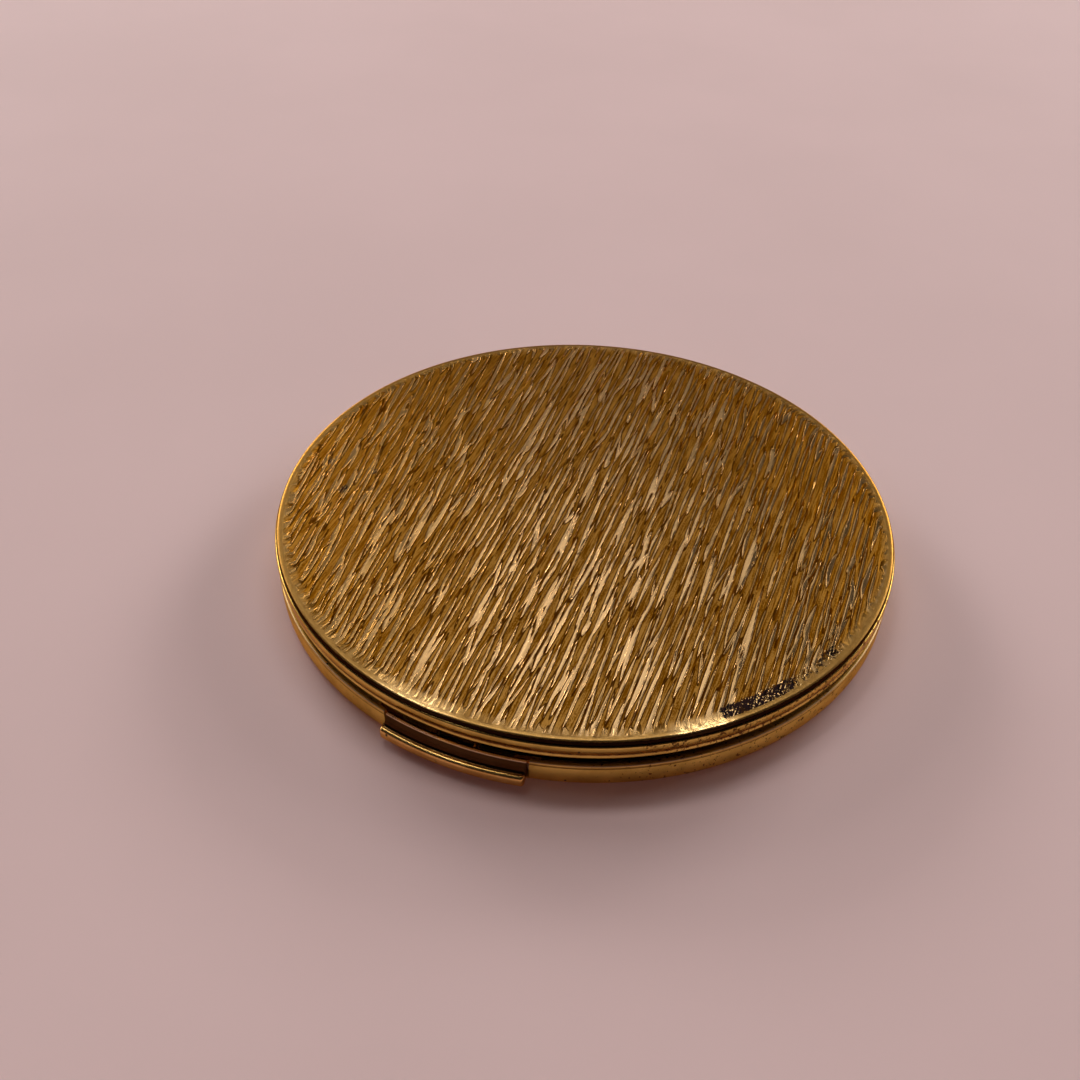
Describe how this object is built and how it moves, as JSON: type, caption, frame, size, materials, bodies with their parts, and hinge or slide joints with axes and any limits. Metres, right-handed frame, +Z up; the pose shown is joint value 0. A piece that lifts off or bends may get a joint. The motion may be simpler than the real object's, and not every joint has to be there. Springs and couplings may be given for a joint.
{
  "type": "compact mirror",
  "caption": "Slim round brass compact: bark-finished mirror lid on a pin hinge, sprung thumb catch, powder well with puff.",
  "frame": {"origin": "centre of the flat underside of the base", "axes": "+Z up through the closed lid, thumb catch towards -Y, hinge towards +Y with its axis along X"},
  "size_m": [0.075, 0.0778, 0.0069],
  "materials": {
    "gold_case": "gold-plated, worn bright",
    "gold_inner": "gold-plated, polished",
    "steel": "drawn",
    "looking_glass": "silvered glass",
    "card": "plain",
    "pan_tin": "pressed",
    "powder": "matt pressed powder",
    "puff_velour": "velour",
    "satin_ribbon": "satin"
  },
  "bodies": {
    "base": {"base_shell": "gold_case", "well_collar": "gold_inner", "base_hinge_leaf": "gold_inner", "hinge_pin": "steel", "catch_spring": "steel", "powder_pan": "pan_tin", "powder_cake": "powder", "puff": "puff_velour", "puff_ribbon": "satin_ribbon"},
    "lid": {"lid_rim": "gold_case", "lid_panel": "gold_case", "lid_hinge_leaf": "gold_inner", "lid_hook": "gold_inner", "mirror_bezel": "gold_inner", "mirror_glass": "looking_glass", "mirror_pad": "card"},
    "catch": {"thumb_catch": "gold_case", "catch_loop": "gold_inner"}
  },
  "joints": [
    {"name": "lid_hinge", "type": "hinge", "parent": "base", "child": "lid", "pos_m": [0, 0.03748, 0.00378], "axis": [-1, 0, 0], "range_deg": [0, 110]},
    {"name": "catch_press", "type": "slide", "parent": "base", "child": "catch", "axis": [0, 1, 0], "range_m": [0, 0.0006], "stiffness_N_per_m": 3000, "springref_m": -0.0003, "deforming": ["catch_spring"]}
  ]
}
